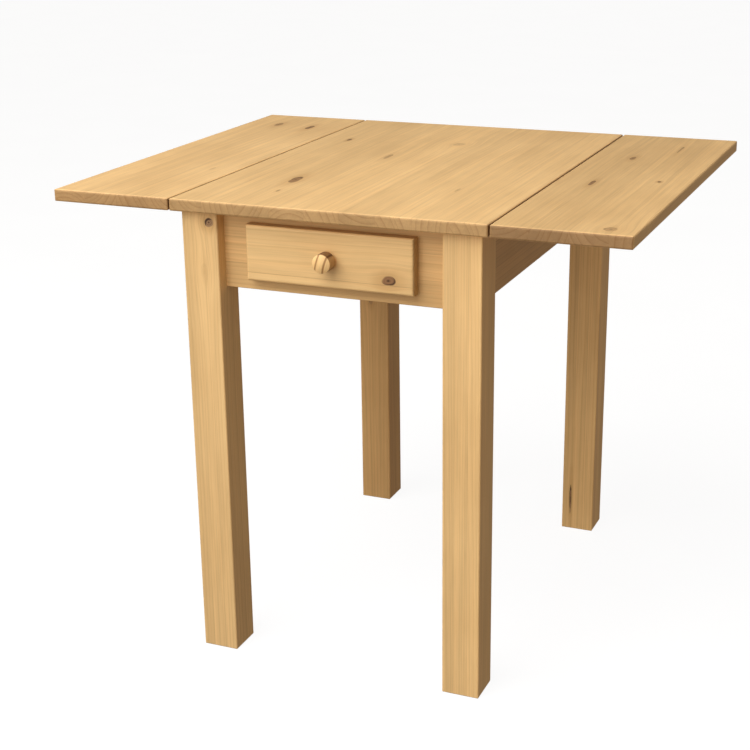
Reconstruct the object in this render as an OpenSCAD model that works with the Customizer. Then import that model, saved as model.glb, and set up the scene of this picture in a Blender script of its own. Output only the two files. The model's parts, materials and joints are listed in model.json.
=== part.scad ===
// Drop-leaf kitchen table in solid pine: a fixed centre panel on four square legs, a leaf hinged at
// each side and held up by two pull-out lopers, and one drawer with a lipped front in the front apron.
// Millimetres. X runs left to right, Y front to back, Z up. The origin is on the floor under the
// middle of the table. The leaves are up, the lopers pushed in and the drawer shut.

/* [Top] */
// Width of the fixed centre panel, left to right
centre_w = 505; // [440:1:640]
// Width of one drop leaf
leaf_w = 202; // [165:1:240]
// Depth of the top, front to back
top_d = 750; // [620:1:900]
// Height of the top face above the floor
table_h = 755; // [600:1:900]
// Thickness of the centre panel and the leaves
top_t = 19; // [18:0.5:25]
// Gap between the centre panel and a leaf
leaf_gap = 2; // [1.6:0.1:3]
// Rounding radius of the edges of the top
top_edge_r = 3; // [2.5:0.1:5]

/* [Legs] */
// Side of the square legs
leg_s = 60; // [50:1:75]
// Overhang of the centre panel past the legs, left and right
side_overhang = 12.5; // [10:0.5:20]
// Overhang of the top past the legs, front and rear
end_overhang = 15; // [5:0.5:30]
// Rounding radius of the leg edges and of the foot
leg_edge_r = 2.5; // [1:0.1:5]

/* [Aprons] */
// Height of the aprons
apron_h = 120; // [110:1:160]
// Thickness of the aprons
apron_t = 20; // [18:0.5:24]
// Distance from the outer face of a leg back to the face of the apron
apron_recess = 22; // [15:0.5:24]
// Rounding radius of the apron edges
apron_edge_r = 1.5; // [0.5:0.1:3]
// Radius of the dowels between aprons and legs
dowel_r = 4; // [3:0.5:5]
// Depth of each dowel in its apron
dowel_in_apron = 20; // [15:1:24]
// Wood left between two dowels that cross inside a leg
dowel_web = 4; // [3:0.5:6]
// Distance from the top of the apron down to the upper dowel
dowel_inset = 30; // [26:1:36]
// Distance between the upper and the lower dowel
dowel_pitch = 44; // [30:1:46]

/* [Corner blocks] */
// Gap between a corner block and the line of the drawer opening
block_drawer_gap = 4; // [2:0.5:12]
// Gap between a corner block and the runner above it
block_runner_gap = 6; // [2:0.5:12]
// Distance from the bottom of the apron up to the block
block_rise = 6; // [2:0.5:8]
// Gap between a corner block and its leg
block_gap = 2; // [1:0.5:4]
// Radius of the hanger bolts
bolt_r = 4; // [3:0.5:5]
// Depth of a hanger bolt in its leg
bolt_in_leg = 38; // [25:1:50]
// Length of bolt that stands past its nut
bolt_tail = 4; // [2:1:10]
// Outer radius of the bolt washers
bolt_washer_r = 9; // [8:0.5:12]
// Height of the nuts
nut_h = 6.5; // [5:0.5:8]
// Radius of a nut across its points
nut_r = 7.5; // [7:0.1:9]

/* [Lopers] */
// Width of a loper
loper_w = 40; // [30:1:60]
// Thickness of a loper
loper_t = 24; // [20:0.5:25]
// Gap between the two lopers that lie side by side
loper_side_gap = 5; // [3:0.5:8]
// Gap between an end hinge and the pair of lopers beside it
loper_hinge_gap = 1.5; // [1:0.5:40]
// Distance that a loper stands proud of the side apron when it is pushed in
loper_grip = 20; // [8:0.5:22]
// Distance from the end of a pulled-out loper to the outer edge of the leaf
loper_short = 26.5; // [15:0.5:60]
// Distance from the inner end of a pushed-in loper to the far side apron
loper_end_gap = 36; // [10:1:60]
// Rounding radius of the lower outer end of a loper
loper_nose_r = 12; // [4:0.5:16]
// Rounding radius of the long edges of a loper
loper_edge_r = 2; // [1:0.1:4]
// Running clearance round a loper, above and below
loper_clear = 0.3; // [0.2:0.05:0.5]
// Radius of the guide screw that a loper slides on
guide_r = 3; // [2.5:0.1:4]
// Depth of the guide screw in the centre panel
guide_in_top = 13; // [8:0.5:15]
// Clearance between the guide screw and its slot
guide_clear = 0.5; // [0.3:0.05:1]
// Distance from the inner end of a loper to its slot
slot_end_wood = 28; // [20:1:50]
// Radius of the head of the guide screw
guide_head_r = 6; // [5:0.1:7]
// Height of the head of the guide screw
guide_head_h = 3; // [2:0.1:3.5]
// Outer radius of the washer under the guide screw
guide_washer_r = 9; // [8:0.5:12]
// Thickness of all the washers
washer_t = 1.5; // [1:0.1:2]

/* [Drawer] */
// Width of the drawer opening in the front apron
open_w = 248; // [200:1:300]
// Height of the drawer opening
open_h = 64; // [50:1:74]
// Height of the apron above the drawer opening
rail_h = 26.5; // [26:0.5:32]
// Lap of the drawer front over the opening, all round
front_lap = 11; // [6:0.5:12]
// Thickness of the drawer front
front_t = 18; // [14:0.5:20]
// Rounding radius of the edges of the drawer front
front_edge_r = 4; // [1:0.5:6]
// Gap between the closed drawer front and the apron
front_gap = 0.3; // [0.3:0.1:1]
// Length of the drawer box, front to back
drawer_l = 450; // [300:1:480]
// Thickness of the sides, the back and the inner front
side_t = 12; // [12:0.5:15]
// Gap between a drawer side and the edge of the opening
side_gap = 2; // [1:0.1:3]
// Gap between the drawer box and the lower edge of the opening
drawer_lift = 1.5; // [1:0.1:3]
// Gap between the drawer box and the upper edge of the opening
drawer_headroom = 4.5; // [3:0.1:8]
// Height of the runners
runner_h = 12; // [10:0.5:14]
// Distance that a runner reaches outwards from the drawer side
runner_w = 18; // [12:0.5:22]
// Depth of the groove in a drawer side
groove_d = 6; // [4:0.1:7]
// Running clearance between a groove and its runner
runner_clear = 0.3; // [0.2:0.05:0.5]
// Depth of the housings that hold the ends of the runners
housing_d = 6; // [4:0.5:10]
// Thickness of the plywood bottom
ply_t = 4; // [3:0.5:5]
// Depth of the grooves that hold the plywood bottom
ply_groove = 5; // [3:0.5:6]
// Height of the plywood above the lower edge of the drawer sides
ply_rise = 7; // [5:0.5:8]
// Radius of the drawer dowels
pin_dowel_r = 3; // [2:0.5:3]
// Depth of a drawer dowel in the end grain of the inner front or the back
pin_dowel_in = 18; // [10:1:24]
// Depth of a drawer dowel in the side
pin_dowel_side = 8; // [5:0.5:9]

/* [Knob] */
// Radius of the knob
knob_r = 14.2; // [12:0.1:18]
// Distance that the knob stands out of the drawer front
knob_l = 28; // [22:0.5:30]
// Radius of the neck of the knob
neck_r = 10; // [7:0.1:11]
// Length of the neck
neck_l = 3; // [2:0.5:8]
// Length of the flare from the neck to the full radius
flare_l = 2; // [1:0.5:6]
// Height of the dome on the front of the knob
dome_h = 4; // [2:0.5:6]
// Radius of the knob screw
knob_screw_r = 2; // [1.5:0.1:2.5]
// Depth of the knob screw in the knob
knob_screw_in = 15; // [8:0.5:18]
// Radius of the head of the knob screw
knob_head_r = 4.2; // [3.5:0.1:5]
// Height of the head of the knob screw
knob_head_h = 2.6; // [2:0.1:3]

/* [Hinges] */
// Length of a hinge along its pin
hinge_l = 38; // [30:1:38]
// Reach of a hinge plate from the pin
hinge_reach = 24; // [20:1:30]
// Thickness of a hinge plate
hinge_t = 1.5; // [1.2:0.1:2]
// Outer radius of the knuckles
knuckle_r = 2.8; // [2.4:0.1:3]
// Radius of the hinge pins
hinge_pin_r = 1.4; // [1:0.1:1.5]
// Distance from the face of a hinge plate to the axis of the pin
hinge_fold = 0.25; // [0.2:0.05:0.5]
// Gap between two knuckles of a hinge
knuckle_gap = 0.3; // [0.2:0.05:0.6]
// Gap between the end hinges and the legs
hinge_inset = 2; // [1:0.5:4]
// Distance of the hinge screws from the pin
hinge_screw_x = 15; // [10:0.5:16]
// Distance of the hinge screws from the middle of their hinge
hinge_screw_y = 12; // [8:0.5:14]

/* [Screws] */
// Radius of the wood screws
screw_r = 1.75; // [1.5:0.05:2]
// Radius of the heads of the wood screws
screw_head_r = 3.5; // [3:0.1:4]
// Height of the countersunk heads
screw_head_h = 2; // [1.5:0.1:2.5]
// Radius of the hinge screws
small_r = 1.4; // [1.2:0.05:1.6]
// Radius of the heads of the hinge screws
small_head_r = 2.8; // [2.4:0.1:3]
// Length of the hinge screws
small_l = 13; // [10:0.5:14]
// Side of the square cleats that hold the top
cleat_s = 20; // [18:0.5:24]
// Length of a cleat
cleat_l = 300; // [220:1:340]
// Depth of the cleat screws past the cleat
cleat_bite = 12; // [8:0.5:14]
// Distance of the outer cleat screws from the middle of the cleat
cleat_screw_x = 120; // [80:1:130]
// Depth of the drawer-front screws in the drawer front
front_bite = 13; // [8:0.5:13.5]
// Distance of the drawer-front screws from the middle of the drawer
front_screw_x = 80; // [60:1:90]
// Radial clearance of screws, dowels, bolts and pins in their holes
fit = 0.05; // [0.02:0.01:0.1]
// Depth left free at the bottom of a blind hole
hole_end = 0.5; // [0.3:0.1:1]
// Radial clearance of bolts and screws through washers and blocks
loose_fit = 0.3; // [0.2:0.05:0.6]

/* [Hidden] */
$fn = 64;

// Overlap of a cutting shape past the face that it cuts
past = 1;

// Heights
under_z = table_h - top_t;
apron_z = under_z - apron_h;
dowel_zs = [under_z - dowel_inset, under_z - dowel_inset - dowel_pitch];

// Plan positions of legs and aprons, measured outwards from the middle of the table
leg_out_x = centre_w / 2 - side_overhang;
leg_in_x = leg_out_x - leg_s;
leg_out_y = top_d / 2 - end_overhang;
leg_in_y = leg_out_y - leg_s;
apron_out_x = leg_out_x - apron_recess;
apron_in_x = apron_out_x - apron_t;
apron_out_y = leg_out_y - apron_recess;
apron_in_y = apron_out_y - apron_t;
apron_mid_x = (apron_out_x + apron_in_x) / 2;
apron_mid_y = (apron_out_y + apron_in_y) / 2;
dowel_in_leg = apron_mid_x - leg_in_x - dowel_r - dowel_web;

// Lopers
loper_top_z = under_z - loper_clear;
loper_z = loper_top_z - loper_t;
loper_in_x = apron_out_x + loper_grip;
leaf_out_x = centre_w / 2 + leaf_gap + leaf_w;
loper_travel = leaf_out_x - loper_short - loper_in_x;
loper_l = loper_in_x + apron_in_x - loper_end_gap;
slot_r = guide_r + guide_clear;
guide_x = loper_in_x + loper_travel - loper_l + slot_end_wood + slot_r;
pair_y = leg_in_y - hinge_inset - hinge_l - loper_hinge_gap - loper_w - loper_side_gap / 2;
pair_half = (loper_w + loper_side_gap) / 2;
// Y of the two lopers that serve the right leaf, front then rear
right_loper_ys = [-pair_y - pair_half, pair_y - pair_half];

// Drawer
open_z = under_z - rail_h - open_h;
drawer_y = -(apron_out_y + front_gap);
drawer_back_y = drawer_y + drawer_l;
side_out_x = open_w / 2 - side_gap;
side_in_x = side_out_x - side_t;
drawer_z = open_z + drawer_lift;
drawer_h = open_h - drawer_lift - drawer_headroom;
drawer_mid_z = drawer_z + drawer_h / 2;
runner_in_x = side_out_x - groove_d + runner_clear;
runner_end_y = apron_in_y + housing_d;
ply_z = drawer_z + ply_rise;
knob_z = open_z + open_h / 2;
front_face_y = drawer_y - front_t;
// Radius of the ball that the dome of the knob is cut from
dome_ball_r = (knob_r * knob_r + dome_h * dome_h) / (2 * dome_h);
groove_h = runner_h + 2 * runner_clear;
// Heights of the drawer dowels: midway between the plywood and the runner groove, and above the groove
pin_dowel_zs = [
    (ply_z + ply_t + drawer_mid_z - groove_h / 2) / 2,
    (drawer_z + drawer_h + drawer_mid_z + groove_h / 2) / 2
];

// Corner blocks: as long as the drawer opening leaves room for, and as high as the runners do
block_leg = apron_in_x - open_w / 2 - block_drawer_gap;
block_z = apron_z + block_rise;
block_h = drawer_mid_z - runner_h / 2 - block_runner_gap - block_z;
bolt_z = block_z + block_h / 2;
// Distance along the bolt from the inner corner of the leg to the long face of the block
block_depth = (block_leg - (apron_in_x - leg_in_x) - (apron_in_y - leg_in_y)) / sqrt(2);

// Hinges
hinge_x = centre_w / 2 + leaf_gap / 2;
hinge_z = under_z - hinge_t - hinge_fold;
hinge_ys = [-(leg_in_y - hinge_inset - hinge_l / 2), 0, leg_in_y - hinge_inset - hinge_l / 2];
knuckle_l = (hinge_l - 2 * knuckle_gap) / 3;
plate_inner = knuckle_r + 2 * knuckle_gap;

// ---------- shared shapes ----------

// Rectangle of size w by h round the origin, with its corners rounded.
module rounded_rect(w, h, r) {
    square([w - 2 * r, h], center = true);
    square([w, h - 2 * r], center = true);
    for (x = [-1, 1], y = [-1, 1])
        translate([x * (w / 2 - r), y * (h / 2 - r)]) circle(r);
}

// Outline of width w and height h that stands on the X axis, with the two lower corners rounded.
module footed_rect(w, h, r) {
    translate([-w / 2, r]) square([w, h - r]);
    translate([-w / 2 + r, 0]) square([w - 2 * r, h - r]);
    for (x = [-1, 1])
        translate([x * (w / 2 - r), r]) circle(r);
}

// Board lying flat, all twelve edges rounded, its middle at the origin.
module eased_slab(w, d, t, r) {
    intersection() {
        linear_extrude(t, center = true) rounded_rect(w, d, r);
        rotate([90, 0, 0]) linear_extrude(d, center = true) rounded_rect(w, t, r);
        rotate([90, 0, 90]) linear_extrude(w, center = true) rounded_rect(d, t, r);
    }
}

// Square post that stands on the origin, with its long edges and its foot rounded.
module eased_post(s, h, r) {
    intersection() {
        linear_extrude(h) rounded_rect(s, s, r);
        rotate([90, 0, 0]) linear_extrude(s, center = true) footed_rect(s, h, r);
        rotate([90, 0, 90]) linear_extrude(s, center = true) footed_rect(s, h, r);
    }
}

// Board on edge along X with its long edges rounded, its middle at the origin.
module board_x(l, t, h, r) {
    rotate([90, 0, 90]) linear_extrude(l, center = true) rounded_rect(t, h, r);
}

// Board on edge along Y with its long edges rounded, its middle at the origin.
module board_y(l, t, h, r) {
    rotate([90, 0, 0]) linear_extrude(l, center = true) rounded_rect(t, h, r);
}

// Puts a shape that is drawn for the front right corner at the corner sx, sy (-1 left or front).
module at_corner(sx, sy) {
    mirror([sx < 0 ? 1 : 0, 0, 0]) mirror([0, sy > 0 ? 1 : 0, 0]) children();
}

module at_all_corners() {
    for (sx = [-1, 1], sy = [-1, 1]) at_corner(sx, sy) children();
}

// Turns a shape that is drawn for the right side to the left side.
module on_left() {
    rotate([0, 0, 180]) children();
}

// Countersunk wood screw that points up from its head at the origin.
module wood_screw(r, head_r, head_h, l) {
    rotate_extrude() polygon([[0, 0], [head_r, 0], [r, head_h], [r, l - 2 * r], [0, l]]);
}

// Hole for a wood screw: countersink, clearance all round and a little depth to spare.
module screw_hole(r, head_r, head_h, l) {
    rotate_extrude() polygon([
        [0, -past], [head_r + fit, -past], [head_r + fit, 0], [r + fit, head_h],
        [r + fit, l + hole_end], [0, l + hole_end]
    ]);
}

// Pan-head screw that points up, with the underside of its head at the origin.
module pan_screw(r, head_r, head_h, l) {
    rotate_extrude() polygon([
        [0, -head_h], [head_r - head_h / 2, -head_h], [head_r, -head_h / 2], [head_r, 0],
        [r, 0], [r, l - r], [0, l]
    ]);
}

// Flat ring from z = 0 up.
module ring(r, bore_r, h) {
    difference() {
        cylinder(r = r, h = h);
        translate([0, 0, -past]) cylinder(r = bore_r, h = h + 2 * past);
    }
}

// ---------- joints between the legs and the aprons ----------

// The four dowels at the front right corner, or their holes: longer by extra at each end.
module corner_dowels(r, extra) {
    l = dowel_in_apron + dowel_in_leg + 2 * extra;
    for (z = dowel_zs) {
        translate([leg_in_x - dowel_in_apron - extra, -apron_mid_y, z])
            rotate([0, 90, 0]) cylinder(r = r, h = l);
        translate([apron_mid_x, -leg_in_y + dowel_in_apron + extra, z])
            rotate([90, 0, 0]) cylinder(r = r, h = l);
    }
}

module dowel_holes() {
    at_all_corners() corner_dowels(dowel_r + fit, hole_end);
}

// Sets a shape on the axis of the hanger bolt: +Z points into the leg from its inner corner.
module on_bolt_axis() {
    translate([leg_in_x, -leg_in_y, bolt_z]) rotate([0, 90, -45]) children();
}

// ---------- frame ----------

module leg(sx, sy) {
    color("burlywood")
    at_corner(sx, sy) difference() {
        translate([leg_in_x + leg_s / 2, -leg_in_y - leg_s / 2, 0])
            eased_post(leg_s, under_z, leg_edge_r);
        corner_dowels(dowel_r + fit, hole_end);
        on_bolt_axis() translate([0, 0, -leg_s / 2])
            cylinder(r = bolt_r + fit, h = leg_s / 2 + bolt_in_leg + hole_end);
    }
}

// The two runners, drawn solid, which also cut their own housings in the aprons.
module runner_bar() {
    translate([runner_in_x, -runner_end_y, drawer_mid_z - runner_h / 2])
        cube([side_out_x + runner_w - runner_in_x, 2 * runner_end_y, runner_h]);
}

module both_runner_bars() {
    runner_bar();
    on_left() runner_bar();
}

module front_apron() {
    color("tan")
    difference() {
        translate([0, -apron_mid_y, apron_z + apron_h / 2])
            board_x(2 * leg_in_x, apron_t, apron_h, apron_edge_r);
        translate([-open_w / 2, -apron_out_y - past, open_z])
            cube([open_w, apron_t + 2 * past, open_h]);
        dowel_holes();
        both_runner_bars();
        cleat_holes();
    }
}

module rear_apron() {
    color("tan")
    difference() {
        translate([0, apron_mid_y, apron_z + apron_h / 2])
            board_x(2 * leg_in_x, apron_t, apron_h, apron_edge_r);
        dowel_holes();
        both_runner_bars();
        cleat_holes();
    }
}

// Side apron, drawn at the right, with a notch in its upper edge for each of its two lopers.
module side_apron() {
    color("tan")
    difference() {
        translate([apron_mid_x, 0, apron_z + apron_h / 2])
            board_y(2 * leg_in_y, apron_t, apron_h, apron_edge_r);
        for (y = right_loper_ys)
            translate([apron_in_x - past, y - loper_w / 2 - loper_clear, loper_z - loper_clear])
                cube([apron_t + 2 * past, loper_w + 2 * loper_clear, loper_t + past + loper_clear]);
        dowel_holes();
    }
}

module apron_dowels() {
    color("wheat")
    at_all_corners() corner_dowels(dowel_r, 0);
}

module corner_block() {
    difference() {
        translate([0, 0, block_z]) linear_extrude(block_h) polygon([
            [apron_in_x - block_leg, -apron_in_y],
            [leg_in_x - block_gap, -apron_in_y],
            [leg_in_x - block_gap, -leg_in_y + block_gap],
            [apron_in_x, -leg_in_y + block_gap],
            [apron_in_x, -apron_in_y + block_leg]
        ]);
        on_bolt_axis() translate([0, 0, -block_depth - past])
            cylinder(r = bolt_r + loose_fit, h = past + block_depth + bolt_r);
    }
}

module corner_blocks() {
    color("wheat")
    at_all_corners() corner_block();
}

module corner_bolts() {
    stand = block_depth + washer_t + nut_h + bolt_tail;
    color("silver")
    at_all_corners() on_bolt_axis() translate([0, 0, -stand])
        cylinder(r = bolt_r, h = stand + bolt_in_leg);
}

module corner_washers() {
    color("silver")
    at_all_corners() on_bolt_axis() translate([0, 0, -block_depth - washer_t])
        ring(bolt_washer_r, bolt_r + loose_fit, washer_t);
}

module corner_nuts() {
    color("silver")
    at_all_corners() on_bolt_axis() translate([0, 0, -block_depth - washer_t - nut_h])
        difference() {
            cylinder(r = nut_r, h = nut_h, $fn = 6);
            translate([0, 0, -past]) cylinder(r = bolt_r + fit, h = nut_h + 2 * past);
        }
}

// ---------- top and its fastening ----------

module centre_top() {
    color("navajowhite")
    difference() {
        translate([0, 0, table_h - top_t / 2])
            eased_slab(centre_w, top_d, top_t, top_edge_r);
        cleat_holes();
        at_guides() cylinder(r = guide_r + fit, h = loper_t + guide_in_top + hole_end);
        hinge_fixed_holes();
        on_left() hinge_fixed_holes();
    }
}

// Puts a shape at each cleat screw of the front cleat, pointing up, or pointing at the apron.
module at_cleat_screws() {
    for (x = [-cleat_screw_x, 0, cleat_screw_x])
        translate([x, -apron_in_y + cleat_s / 2, under_z - cleat_s]) children();
    for (x = [-cleat_screw_x / 2, cleat_screw_x / 2])
        translate([x, -apron_in_y + cleat_s, under_z - cleat_s / 2]) rotate([90, 0, 0]) children();
}

module cleat_screw_pair() {
    at_cleat_screws() children();
    on_left() at_cleat_screws() children();
}

module cleat_holes() {
    cleat_screw_pair() screw_hole(screw_r, screw_head_r, screw_head_h, cleat_s + cleat_bite);
}

module cleat_screws() {
    color("silver")
    cleat_screw_pair() wood_screw(screw_r, screw_head_r, screw_head_h, cleat_s + cleat_bite);
}

module top_cleat() {
    color("wheat")
    difference() {
        translate([-cleat_l / 2, -apron_in_y, under_z - cleat_s]) cube([cleat_l, cleat_s, cleat_s]);
        cleat_holes();
    }
}

// ---------- lopers ----------

// Puts a shape under the centre panel at each guide screw, at the height of a loper's lower face.
module at_guides() {
    for (y = right_loper_ys) {
        translate([guide_x, y, loper_z]) children();
        on_left() translate([guide_x, y, loper_z]) children();
    }
}

// Side view of a loper: outer end at x = 0, with a large round below and a small one above.
module loper_side() {
    translate([-loper_l, 0]) square([loper_l - loper_nose_r, loper_t]);
    translate([-loper_nose_r, loper_nose_r]) square([loper_nose_r, loper_t - loper_nose_r - loper_edge_r]);
    translate([-loper_nose_r, loper_t - loper_edge_r])
        square([loper_nose_r - loper_edge_r, loper_edge_r]);
    translate([-loper_nose_r, loper_nose_r]) circle(loper_nose_r);
    translate([-loper_edge_r, loper_t - loper_edge_r]) circle(loper_edge_r);
}

// A loper that serves the right leaf, pushed in, on the line y.
module loper(y) {
    color("peru")
    difference() {
        intersection() {
            translate([loper_in_x, y, loper_z])
                rotate([90, 0, 0]) linear_extrude(loper_w, center = true) loper_side();
            translate([loper_in_x - loper_l / 2, y, loper_z + loper_t / 2])
                rotate([90, 0, 90]) linear_extrude(loper_l, center = true)
                    rounded_rect(loper_w, loper_t, loper_edge_r);
        }
        translate([guide_x - loper_travel, y, loper_z - past]) {
            cylinder(r = slot_r, h = loper_t + 2 * past);
            translate([loper_travel, 0, 0]) cylinder(r = slot_r, h = loper_t + 2 * past);
            translate([0, -slot_r, 0]) cube([loper_travel, 2 * slot_r, loper_t + 2 * past]);
        }
    }
}

module loper_screws() {
    color("silver")
    at_guides() translate([0, 0, -loper_clear - washer_t])
        pan_screw(guide_r, guide_head_r, guide_head_h, washer_t + loper_clear + loper_t + guide_in_top);
}

module loper_washers() {
    color("silver")
    at_guides() translate([0, 0, -loper_clear - washer_t])
        ring(guide_washer_r, guide_r + loose_fit, washer_t);
}

// ---------- leaves and hinges ----------

module leaf() {
    color("navajowhite")
    difference() {
        translate([centre_w / 2 + leaf_gap + leaf_w / 2, 0, table_h - top_t / 2])
            eased_slab(leaf_w, top_d, top_t, top_edge_r);
        at_leaf_screws() small_hole();
    }
}

// Puts a shape at each screw of the right hinges: side is -1 for the fixed plates, 1 for the leaf's.
module at_hinge_screws(side) {
    for (y = hinge_ys, dy = [-hinge_screw_y, hinge_screw_y])
        translate([hinge_x + side * hinge_screw_x, y + dy, under_z - hinge_t]) children();
}

module at_leaf_screws() {
    at_hinge_screws(1) children();
}

module small_hole() {
    screw_hole(small_r, small_head_r, hinge_t, small_l);
}

module hinge_fixed_holes() {
    at_hinge_screws(-1) small_hole();
}

module small_screw() {
    wood_screw(small_r, small_head_r, hinge_t, small_l);
}

// One knuckle round the hinge axis with the strap that joins it to its plate, from y = from.
module knuckle(side, from) {
    translate([0, from, 0]) {
        rotate([-90, 0, 0]) cylinder(r = knuckle_r, h = knuckle_l);
        translate([side < 0 ? -plate_inner - past : 0, 0, hinge_fold])
            cube([plate_inner + past, knuckle_l, hinge_t]);
    }
}

// One half of each right hinge: side -1 is the fixed half with two knuckles, 1 the leaf's with one.
module hinge_half(side) {
    starts = side < 0 ? [-hinge_l / 2, hinge_l / 2 - knuckle_l] : [-knuckle_l / 2];
    color("silver")
    difference() {
        for (y = hinge_ys) translate([hinge_x, y, hinge_z]) difference() {
            union() {
                translate([side < 0 ? -hinge_reach : plate_inner, -hinge_l / 2, hinge_fold])
                    cube([hinge_reach - plate_inner, hinge_l, hinge_t]);
                for (from = starts) knuckle(side, from);
            }
            translate([0, -hinge_l / 2 - past, 0]) rotate([-90, 0, 0])
                cylinder(r = hinge_pin_r + fit, h = hinge_l + 2 * past);
        }
        at_hinge_screws(side) small_hole();
    }
}

module hinge_pins() {
    color("dimgray")
    for (y = hinge_ys)
        translate([hinge_x, y - hinge_l / 2, hinge_z]) rotate([-90, 0, 0])
            cylinder(r = hinge_pin_r, h = hinge_l);
}

module hinge_screws(side) {
    color("silver")
    at_hinge_screws(side) small_screw();
}

// ---------- drawer ----------

// Cross-section of the drawer front of width w: the outer face is up, with its corners rounded.
module front_section(w) {
    translate([0, front_t]) mirror([0, 1]) footed_rect(w, front_t, front_edge_r);
}

module drawer_front() {
    w = open_w + 2 * front_lap;
    h = open_h + 2 * front_lap;
    color("burlywood")
    difference() {
        intersection() {
            translate([0, drawer_y, knob_z]) rotate([0, 0, 180])
                linear_extrude(h, center = true) front_section(w);
            translate([0, drawer_y, knob_z]) rotate([0, -90, 180])
                linear_extrude(w, center = true) front_section(h);
        }
        at_front_screws() front_hole();
        knob_bore();
    }
}

// Puts a shape at each screw of the drawer front, pointing forwards from the face of the inner front.
module at_front_screws() {
    for (x = [-front_screw_x, front_screw_x])
        translate([x, drawer_y + side_t, knob_z]) rotate([90, 0, 0]) children();
}

module front_hole() {
    screw_hole(screw_r, screw_head_r, screw_head_h, side_t + front_bite);
}

module knob_bore() {
    translate([0, drawer_y + side_t + past, knob_z]) rotate([90, 0, 0])
        cylinder(r = knob_screw_r + fit, h = side_t + front_t + knob_screw_in + past + hole_end);
}

// The plywood bottom, which also cuts its own grooves.
module ply_sheet() {
    translate([-side_in_x - ply_groove, drawer_y + side_t - ply_groove, ply_z])
        cube([
            2 * (side_in_x + ply_groove),
            drawer_l - 2 * (side_t - ply_groove),
            ply_t
        ]);
}

// The two dowels at each corner of the drawer box, or their holes.
module pin_dowels(r, extra) {
    for (sx = [-1, 1], y = [drawer_y + side_t / 2, drawer_back_y - side_t / 2], z = pin_dowel_zs)
        translate([sx * side_in_x, y, z]) rotate([0, sx * 90, 0])
            translate([0, 0, -pin_dowel_in - extra])
                cylinder(r = r, h = pin_dowel_in + pin_dowel_side + 2 * extra);
}

// A board across the drawer box between its sides, from y = from.
module cross_board(from) {
    difference() {
        translate([-side_in_x, from, drawer_z]) cube([2 * side_in_x, side_t, drawer_h]);
        ply_sheet();
        pin_dowels(pin_dowel_r + fit, hole_end);
    }
}

module drawer_inner_front() {
    color("wheat")
    difference() {
        cross_board(drawer_y);
        at_front_screws() front_hole();
        knob_bore();
    }
}

module drawer_back() {
    color("wheat")
    cross_board(drawer_back_y - side_t);
}

// Right side of the drawer box, with its runner groove open at the back.
module drawer_side() {
    groove_y = -runner_end_y - hole_end;
    color("wheat")
    difference() {
        translate([side_in_x, drawer_y, drawer_z]) cube([side_t, drawer_l, drawer_h]);
        translate([side_out_x - groove_d, groove_y, drawer_mid_z - groove_h / 2])
            cube([groove_d + past, drawer_back_y - groove_y + past, groove_h]);
        ply_sheet();
        pin_dowels(pin_dowel_r + fit, hole_end);
    }
}

module drawer_bottom() {
    color("bisque")
    ply_sheet();
}

module drawer_dowels() {
    color("wheat")
    pin_dowels(pin_dowel_r, 0);
}

module drawer_front_screws() {
    color("silver")
    at_front_screws() wood_screw(screw_r, screw_head_r, screw_head_h, side_t + front_bite);
}

// Half of the knob's outline, without its dome: radius against distance from the drawer front.
module knob_profile() {
    body = neck_l + flare_l;
    polygon([[0, 0], [neck_r, 0], [neck_r, neck_l], [knob_r, body], [knob_r, knob_l], [0, knob_l]]);
}

module drawer_knob() {
    color("burlywood")
    difference() {
        translate([0, front_face_y, knob_z]) rotate([90, 0, 0]) intersection() {
            rotate_extrude() knob_profile();
            translate([0, 0, knob_l - dome_ball_r]) sphere(dome_ball_r);
        }
        knob_bore();
    }
}

module knob_screw() {
    color("silver")
    translate([0, drawer_y + side_t, knob_z]) rotate([90, 0, 0])
        pan_screw(knob_screw_r, knob_head_r, knob_head_h, side_t + front_t + knob_screw_in);
}

module runner() {
    color("wheat")
    runner_bar();
}

centre_top();
on_left() leaf();  // leaf_left
leaf();  // leaf_right
leg(-1, -1);  // leg_front_left
leg(1, -1);  // leg_front_right
leg(-1, 1);  // leg_rear_left
leg(1, 1);  // leg_rear_right
front_apron();
rear_apron();
on_left() side_apron();  // side_apron_left
side_apron();  // side_apron_right
apron_dowels();
corner_blocks();
corner_bolts();
corner_washers();
corner_nuts();
top_cleat();  // top_cleat_front
on_left() top_cleat();  // top_cleat_rear
cleat_screws();
on_left() loper(right_loper_ys[1]);  // loper_left_front
on_left() loper(right_loper_ys[0]);  // loper_left_rear
loper(right_loper_ys[0]);  // loper_right_front
loper(right_loper_ys[1]);  // loper_right_rear
loper_screws();
loper_washers();
on_left() hinge_half(-1);  // hinge_fixed_left
hinge_half(-1);  // hinge_fixed_right
on_left() hinge_pins();  // hinge_pins_left
hinge_pins();  // hinge_pins_right
on_left() hinge_screws(-1);  // hinge_fixed_screws_left
hinge_screws(-1);  // hinge_fixed_screws_right
on_left() hinge_half(1);  // hinge_leaf_left
hinge_half(1);  // hinge_leaf_right
on_left() hinge_screws(1);  // hinge_leaf_screws_left
hinge_screws(1);  // hinge_leaf_screws_right
on_left() runner();  // runner_left
runner();  // runner_right
drawer_front();
drawer_inner_front();
mirror([1, 0, 0]) drawer_side();  // drawer_side_left
drawer_side();  // drawer_side_right
drawer_back();
drawer_bottom();
drawer_dowels();
drawer_front_screws();
drawer_knob();
knob_screw();
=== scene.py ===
# %% [markdown]
# # A drop-leaf table in solid pine
# This lesson dresses a finished CAD model in Blender.

# %% Load the table
import json
import math

import bmesh
import bpy
from mathutils import Matrix, Vector

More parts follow.
